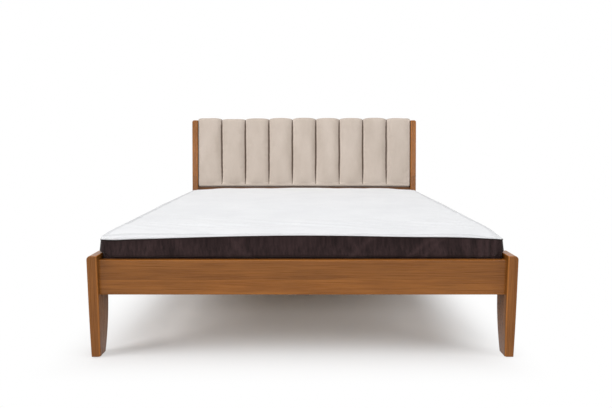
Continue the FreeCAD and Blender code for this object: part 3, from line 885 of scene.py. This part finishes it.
def rise_start(x, y):
    """The height above which the border may swell: over the rail, or over a front leg."""
    over_x, over_y = over_corner(x, y)
    blend, beside = 20 * mm, 0
    if y < 0:
        past_leg = leg_high.y + blend - middle.y - y
        beside = clamped((over_x + blend if over_y > over_x else past_leg) / blend)
    gap = (1 + 4.5 * (1 - beside)) * mm if y < 0 else mm
    return rail_high.z + gap + (leg_high.z - rail_high.z) * beside


def risen_share(x, y, z):
    """From 0 where the border leaves the rails or legs to 1 a little higher."""
    share = clamped((z - rise_start(x, y)) / (9 * mm))
    return share * (2 - share)


def border_reach(x, y, z):
    """How far the border stands out: most over the rails, less at its seam, none at the posts."""
    settled = clamped((z - rise_start(x, y)) / (55 * mm))
    over_x, over_y = over_corner(x, y)
    most = swell_reach
    if y < 0 and over_y > over_x:
        most += foot_end_reach * clamped(-over_x / (60 * mm))
    reach = most + (seam_reach - most) * settled - lean_left * x / half_x
    toward_posts = clamped(1 - (y / half_y - 0.5) * 2.5)
    return reach * risen_share(x, y, z) * toward_posts


# Materials


class Nodes:
    """A node tree, with short names for the nodes that are used most."""

    def __init__(self, tree):
        self.tree = tree

    def fill(self, node, inputs):
        """Links a node's inputs to other nodes' outputs, or sets them to values."""
        for key, value in inputs.items():
            if isinstance(value, bpy.types.NodeSocket):
                self.tree.links.new(value, node.inputs[key])
            else:
                node.inputs[key].default_value = value

    def add(self, kind, inputs=None, **settings):
        """Adds a node with its settings and inputs, and gives its outputs."""
        node = self.tree.nodes.new(kind)
        assign(node, **settings)
        self.fill(node, inputs or {})
        return node.outputs

    def calc(self, operation, first, second=0):
        return self.add("ShaderNodeMath", {0: first, 1: second}, operation=operation)[0]

    def plus(self, first, *others):
        for other in others:
            first = self.calc("ADD", first, other)
        return first

    def times(self, first, *others):
        for other in others:
            first = self.calc("MULTIPLY", first, other)
        return first

    def vector(self, operation, first, second):
        return self.add("ShaderNodeVectorMath", {0: first, 1: second}, operation=operation)

    def parts(self, vector):
        return self.add("ShaderNodeSeparateXYZ", {0: vector})

    def remapped(self, value, low, high, from_low=0, from_high=1):
        inputs = {"Value": value, 1: from_low, 2: from_high, 3: low, 4: high}
        return self.add("ShaderNodeMapRange", inputs)["Result"]

    def any_ray(self, first, *others):
        """1 for a ray of any of these kinds."""
        rays = self.add("ShaderNodeLightPath")
        found = rays[first]
        for other in others:
            found = self.calc("MAXIMUM", found, rays[other])
        return found


def emptied(owner):
    """The node tree of a material or world, with nothing in it."""
    owner.use_nodes = True
    owner.node_tree.nodes.clear()
    return owner.node_tree


class Material(Nodes):
    """A new material's nodes: its surface, and patterns that lie in the object's own space."""

    def __init__(self, name):
        self.material = bpy.data.materials.new(name)
        super().__init__(emptied(self.material))
        self.surface = self.add("ShaderNodeBsdfPrincipled")[0].node
        self.add("ShaderNodeOutputMaterial", {0: self.surface.outputs[0]})
        self.coords = self.add("ShaderNodeTexCoord")["Object"]

    def noise(self, scale, detail=3, roughness=0.55, distortion=0, stretch=None, vector=None):
        vector = vector or self.coords
        if stretch:
            vector = self.vector("MULTIPLY", vector, stretch)[0]
        inputs = {"Vector": vector, "Scale": scale, "Detail": detail}
        inputs.update({"Roughness": roughness, "Distortion": distortion})
        return self.add("ShaderNodeTexNoise", inputs)["Fac"]

    def ramp(self, factor, *stops):
        """A colour ramp from (place, colour) stops."""
        output = self.add("ShaderNodeValToRGB", {"Fac": factor})["Color"]
        elements = output.node.color_ramp.elements
        while len(elements) < len(stops):
            elements.new(0.5)
        for element, (place, color) in zip(elements, stops):
            element.position = place
            element.color = (*color, 1)
        return output

    def tinted(self, color, factor):
        """A colour multiplied by a grey value."""
        grey = self.add("ShaderNodeCombineXYZ", {axis: factor for axis in range(3)})[0]
        return self.vector("MULTIPLY", color, grey)[0]

    def seam(self):
        """The share of painted shade or painted highlight at seams, creases and folds that the
        piece was marked with.
        """
        return self.add("ShaderNodeAttribute", attribute_name="seam")["Fac"]

    def weave(self, pitch):
        """A plain weave's height from threads along each axis, for surfaces at any angle."""
        count = 2 * math.pi / pitch
        across, along, up = (
            self.calc("SINE", self.vector("DOT_PRODUCT", self.coords, direction)["Value"])
            for direction in ((count, 0, 0), (0, count, 0), (0, 0, count))
        )
        return self.times(self.plus(self.times(across, along), up), 0.5)

    def finished(self, sockets, relief, strength, distance):
        """Fills the surface's sockets, adds its bump and gives the finished material."""
        bump = {"Height": relief, "Strength": strength, "Distance": distance}
        self.fill(self.surface, {**sockets, "Normal": self.add("ShaderNodeBump", bump)[0]})
        return self.material


def wood(name, grain_axis, tones, strip_width, gloss):
    """Planed wood with grain along an axis, glued up from strips that differ a little in tone."""
    m = Material(name)
    axes = m.parts(m.coords)
    order = {"X": (0, 1, 2), "Y": (1, 0, 2), "Z": (2, 0, 1)}[grain_axis]
    along, across, up = (axes[n] for n in order)
    lifted = m.calc("DIVIDE", m.plus(up, 0.01), strip_width)
    strip = m.calc("FLOOR", lifted)
    shifted = m.plus(along, m.times(strip, 3.71))
    laid = m.add("ShaderNodeCombineXYZ", {0: shifted, 1: across, 2: up})[0]
    figure = m.noise(1.5, 5, 0.62, 0.3, stretch=(0.9, 38, 38), vector=laid)
    fibre = m.noise(1, 3, 0.6, stretch=(7, 460, 460), vector=laid)
    pores = m.noise(1, 2, 0.7, stretch=(36, 1500, 1500), vector=laid)
    cloud = m.noise(1, 3, stretch=(5, 4, 4), vector=laid)
    strip_tone = m.calc("SINE", m.plus(m.times(strip, math.pi / 2), -2.75 * math.pi))
    glue = m.calc("PINGPONG", lifted, 0.5)
    turned = m.parts(m.add("ShaderNodeNewGeometry")["Normal"])
    inward = m.times(turned[0], m.calc("SIGN", axes[0]))
    tone = m.times(
        m.remapped(strip_tone, 0.93, 1.07, -0.7, 0.7),
        m.remapped(cloud, 0.86, 1.14, 0.2, 0.8),
        m.remapped(glue, 0.9, 1, 0.004, 0.018),
        # Painted highlight on faces that turn up and on the inner arrises, and painted shade on the
        # faces that turn in towards the bed's middle
        m.remapped(turned[2], 1, 1.55, 0.25, 0.8),
        m.remapped(inward, 0.5, 1, -0.97, -0.85),
        m.remapped(inward, 1.44, 1, -0.6, -0.3),
    )
    mixed = m.plus(m.times(figure, 0.5), m.times(fibre, 0.5))
    sockets = {
        "Base Color": m.tinted(m.ramp(mixed, *zip((0.3, 0.46, 0.57, 0.74), tones)), tone),
        "Roughness": m.remapped(fibre, gloss - 0.05, gloss + 0.09, 0.3, 0.7),
        "Specular IOR Level": 0.27,
    }
    return m.finished(sockets, m.plus(fibre, m.times(pores, 0.6)), 0.3, 0.00012)


def velour():
    """Short, soft pile with a faint nap and broad, brushed patches."""
    m = Material("velour")
    nap = m.noise(1, 4, 0.6, stretch=(9, 9, 3.2))
    fine = m.noise(420, 4, 0.7)
    pile = m.noise(1900, 2, 0.6, stretch=(1, 1, 0.45))
    seam = m.seam()
    tone = m.times(
        m.remapped(fine, 0.93, 1.07, 0.3, 0.7),
        m.remapped(pile, 0.95, 1.05, 0.3, 0.7),
        # Painted highlight on the pile right of each seam, where the marked share falls below 0
        m.remapped(seam, 1.14, 1, -1, 0),
    )
    base = m.tinted(m.ramp(nap, (0.3, (0.474, 0.402, 0.343)), (0.7, (0.55, 0.473, 0.412))), tone)
    # Painted shade: a dark brown mixed in where the marked share is above 0, in the seams and on
    # their left flanks
    painted_seam_shade = {"Factor": m.times(seam, 0.95), 6: base, 7: (0.07, 0.04, 0.025, 1)}
    sockets = {
        "Base Color": m.add("ShaderNodeMix", painted_seam_shade, data_type="RGBA")[2],
        "Roughness": 0.85,
        "Sheen Weight": 0.35,
        "Sheen Roughness": 0.42,
        "Sheen Tint": (0.95, 0.9, 0.86, 1),
        "Specular IOR Level": 0.25,
    }
    return m.finished(sockets, m.plus(pile, fine), 0.35, 0.00035)


def ticking():
    """The mattress's white knitted top, with a small raised figure."""
    m = Material("ticking")
    cells = {"Vector": m.coords, "Scale": 120}
    figure = m.add("ShaderNodeTexVoronoi", cells, feature="SMOOTH_F1")["Distance"]
    soil = m.noise(5, 3)
    base = m.ramp(soil, (0.3, (0.785, 0.792, 0.81)), (0.7, (0.835, 0.842, 0.857)))
    # Painted shade, down to 0.82 of the colour, in the crease behind the top's firm edge and on its
    # edge band
    tone = m.times(m.remapped(figure, 1.02, 0.965, 0, 0.8), m.remapped(m.seam(), 1, 0.82))
    sockets = {
        "Base Color": m.tinted(base, tone),
        "Roughness": 0.8,
        "Sheen Weight": 0.12,
        "Specular IOR Level": 0.3,
    }
    relief = m.plus(m.times(m.weave(0.0016), 0.3), m.times(figure, -1.6))
    return m.finished(sockets, relief, 0.3, 0.0004)


def dark_cloth(name, low, high, pitch, roughness, sheen, stretch=(14, 14, 4)):
    """A woven cloth whose threads show as a fine grid, with painted highlights on the crests of its
    marked folds and painted shade between them.
    """
    m = Material(name)
    threads = m.weave(pitch)
    patches = m.noise(1, 4, 0.65, stretch=stretch)
    fuzz = m.noise(700, 3, 0.7)
    wale = m.calc("SINE", m.vector("DOT_PRODUCT", m.coords, (540, 540, 0))["Value"])
    woven = m.plus(m.times(threads, 0.22), patches, m.times(fuzz, 0.3))
    # Painted highlight on the marked folds' crests and painted shade between them
    level = m.plus(woven, m.times(m.seam(), 0.3), m.times(wale, 0.03))
    sockets = {
        "Base Color": m.ramp(level, (0.35, low), (0.95, high)),
        "Roughness": roughness,
        "Sheen Weight": sheen,
        "Sheen Roughness": 0.5,
        "Specular IOR Level": 0.06,
    }
    return m.finished(sockets, m.plus(threads, fuzz), 0.35, 0.0003)


def hard(name, stops, roughness, metallic=0, mottling=(160, 4, 0.6), grain=(1400, 2), bump=0.15):
    """Plated or painted steel, or matte moulded plastic, with fine mottling."""
    m = Material(name)
    mottle = m.noise(*mottling)
    sockets = {
        "Base Color": m.ramp(mottle, *stops),
        "Roughness": m.remapped(mottle, *roughness, 0.3, 0.7),
        "Metallic": metallic,
    }
    return m.finished(sockets, m.noise(*grain), bump, 0.0001)


# CAD nodes that stay


def smooth_edges_group(limit):
    """Shades a mesh smooth below an angle without touching its own data."""
    tree = bpy.data.node_groups.new("smooth_edges", "GeometryNodeTree")
    for way in ("INPUT", "OUTPUT"):
        tree.interface.new_socket("Geometry", in_out=way, socket_type="NodeSocketGeometry")
    nodes = Nodes(tree)
    weld = {"Geometry": nodes.add("NodeGroupInput")[0], "Distance": 0.000002}
    shape = nodes.add("GeometryNodeMergeByDistance", weld)[0]
    angle = nodes.add("GeometryNodeInputMeshEdgeAngle")["Unsigned Angle"]
    gentle = nodes.add("FunctionNodeCompare", {0: angle, 1: limit}, operation="LESS_THAN")[0]
    for domain, smooth in (("FACE", True), ("EDGE", gentle)):
        inputs = {"Geometry": shape, "Shade Smooth": smooth}
        shape = nodes.add("GeometryNodeSetShadeSmooth", inputs, domain=domain)[0]
    nodes.add("NodeGroupOutput", {0: shape})
    return tree


def dress_nodes(materials):
    """Gives each CAD node that shows its material and smooth shading."""
    group = smooth_edges_group(math.radians(34))
    for node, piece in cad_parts.items():
        if piece.hide_render:
            continue
        piece.data.materials.clear()
        piece.data.materials.append(next(m for start, m in materials if node.startswith(start)))
        piece.modifiers.new("shading", "NODES").node_group = group
        keep_flats(piece)


# Stage, lamps and camera


def make_stage():
    """A pale floor that fades into the white backdrop away from the bed."""
    half = 30
    corners = [(-half, -half, 0), (half, -half, 0), (half, half, 0), (-half, half, 0)]
    mesh = bpy.data.meshes.new("floor")
    mesh.from_pydata(corners, [], [(0, 1, 2, 3)])
    material = bpy.data.materials.new("floor")
    mesh.materials.append(material)
    nodes = Nodes(emptied(material))
    axes = nodes.parts(nodes.add("ShaderNodeTexCoord")["Object"])
    # The white glow that camera and glossy rays see starts inside the bed's outline and is centred
    # a little to the left, so it paints light over the edges of the bed's shadow
    past_x = nodes.calc("SUBTRACT", nodes.calc("ABSOLUTE", nodes.plus(axes[0], 0.05)), post_high.x)
    past_y = nodes.calc("SUBTRACT", nodes.calc("ABSOLUTE", axes[1]), post_high.y + 0.1)
    past = nodes.add("ShaderNodeMath", {0: past_x, 1: past_y, 2: 0.2}, operation="SMOOTH_MAX")[0]
    span = {"Value": past, 1: -0.26, 2: 0.16}
    fade = nodes.add("ShaderNodeMapRange", span, interpolation_type="SMOOTHSTEP")["Result"]
    factor = nodes.times(fade, nodes.any_ray("Is Camera Ray", "Is Glossy Ray"))
    diffuse = nodes.add("ShaderNodeBsdfDiffuse", {"Color": (0.9, 0.9, 0.905, 1)})[0]
    glow = nodes.add("ShaderNodeEmission", {"Color": (1, 1, 1, 1), "Strength": 1})[0]
    mixed = nodes.add("ShaderNodeMixShader", {0: factor, 1: diffuse, 2: glow})[0]
    nodes.add("ShaderNodeOutputMaterial", {0: mixed})
    floor = new_object("floor", mesh)


def make_world():
    """An even, pale surround that the camera sees as white."""
    world = bpy.data.worlds.new("surround")
    scene.world = world
    nodes = Nodes(emptied(world))
    seen = nodes.any_ray("Is Camera Ray", "Is Glossy Ray", "Is Transmission Ray")
    surround = {"Color": (1, 1, 1, 1), "Strength": nodes.remapped(seen, 0.36, 1)}
    nodes.add("ShaderNodeOutputWorld", {0: nodes.add("ShaderNodeBackground", surround)[0]})


def softbox(name, place, target, width, height, power):
    lamp = bpy.data.lights.new(name, "AREA")
    assign(lamp, shape="RECTANGLE", size=width, size_y=height, energy=power)
    made = new_object(name, lamp)
    made.location = place
    made.rotation_euler = (Vector(target) - Vector(place)).to_track_quat("-Z", "Y").to_euler()


def make_lights():
    softbox("key", (-8, -3.5, 5), (0, 0.6, 0.55), 4.5, 4, 470)
    softbox("fill", (8, -4, 3.6), (0, 0.2, 0.4), 4.5, 3.5, 260)
    softbox("overhead", (0.1, 0.1, 3.4), (0.1, 0.2, 0), 3.6, 3.2, 34)
    softbox("front", (0, -5, 1.65), (0, 0.4, 0.6), 4.8, 0.75, 69)


def make_camera():
    """The camera at the photograph's place, fitted to the edges of the legs, rails and posts."""
    camera = new_object("camera", bpy.data.cameras.new("camera"))
    assign(camera.data, lens=32.89, sensor_width=36)
    camera.location = (0.0137, -3.2165, 0.8761)
    camera.rotation_euler = (math.radians(90 - 7.02), 0, 0)
    scene.camera = camera


stain_tones = (
    (0.135, 0.042, 0.006), (0.19, 0.065, 0.01), (0.237, 0.085, 0.0145), (0.298, 0.114, 0.022),
)
plain_tones = (0.46, 0.3, 0.165), (0.58, 0.4, 0.235), (0.66, 0.475, 0.29), (0.73, 0.55, 0.36)
stain_x = wood("stain_x", "X", stain_tones, 0.04, 0.28)
stain_y = wood("stain_y", "Y", stain_tones, 0.04, 0.28)
stain_z = wood("stain_z", "Z", stain_tones, 0.055, 0.28)
# Lit and shaded copies of the stain: the paler one for the posts is a painted highlight, the darker
# one for the lower panel rail is painted shade
painted_light_tones, painted_shade_tones = ([[f * c for c in tone] for tone in stain_tones] for f in (1.15, 0.72))
stain_post_painted_light = wood("stain_post_painted_light", "Z", painted_light_tones, 0.055, 0.26)
stain_low_painted_shade = wood("stain_low_painted_shade", "X", painted_shade_tones, 0.04, 0.34)
plain_x = wood("plain_x", "X", plain_tones, 0.5, 0.55)
plain_y = wood("plain_y", "Y", plain_tones, 0.5, 0.55)
zinc_tones = (0.3, (0.5084, 0.5084, 0.4756)), (0.7, (0.682, 0.682, 0.638))
steel_tones = (0.3, (0.0328, 0.0328, 0.03444)), (0.7, (0.044, 0.044, 0.0462))
plastic_tones = (0.35, (0.028, 0.027, 0.026)), (0.75, (0.06, 0.058, 0.055))
zinc = hard("zinc", zinc_tones, (0.3, 0.48), 1)
black_steel = hard("black_steel", steel_tones, (0.42, 0.6))
black_plastic = hard("plastic", plastic_tones, (0.5, 0.7), 0, (90, 5, 0.7), (1800, 3, 0.6), 0.3)
border_tones = (0.005, 0.0024, 0.0024), (0.0365, 0.0205, 0.0208)
border_cloth = dark_cloth("border_cloth", *border_tones, 0.0012, 0.66, 0.09, (75, 75, 5))
tape_tones = (0.0125, 0.0075, 0.007), (0.03, 0.019, 0.0185)
tape_cloth = dark_cloth("tape_cloth", *tape_tones, 0.0009, 0.62, 0.03)
under_cloth = dark_cloth("under_cloth", (0.3, 0.3, 0.31), (0.46, 0.46, 0.47), 0.002, 0.9, 0)

make_uprights(stain_z, stain_post_painted_light)
make_upholstery(velour())
make_back_sheet(under_cloth)
make_staples(zinc)
make_screws(zinc)
make_top(ticking())
make_border(border_cloth, under_cloth)
make_tape(
    "mattress_upper_edging", "mattress_tape_upper",
    lambda x, y: upper_seam(x, y) - 2 * mm, upper_edge_reach, tape_cloth,
)
make_tape(
    "mattress_lower_edging", "mattress_tape_lower",
    lambda x, y: lower_seam, lambda x, y: 0, tape_cloth,
)

dress_nodes((
    (("foot_rail", "head_rail", "panel_upper_rail"), stain_x),
    ("side_rail", stain_y),
    ("panel_lower_rail", stain_low_painted_shade),
    (("center_leg_", "rail_", "foot_screw"), zinc),
    ("center_leg", stain_z),
    (("center_beam", "slat_ledge"), plain_y),
    ("slat_", plain_x),
    ("beam_shoe", black_steel),
    (("glide", "foot_pad"), black_plastic),
))

make_stage()
make_world()
make_lights()
make_camera()
scene.view_settings.view_transform = "Standard"
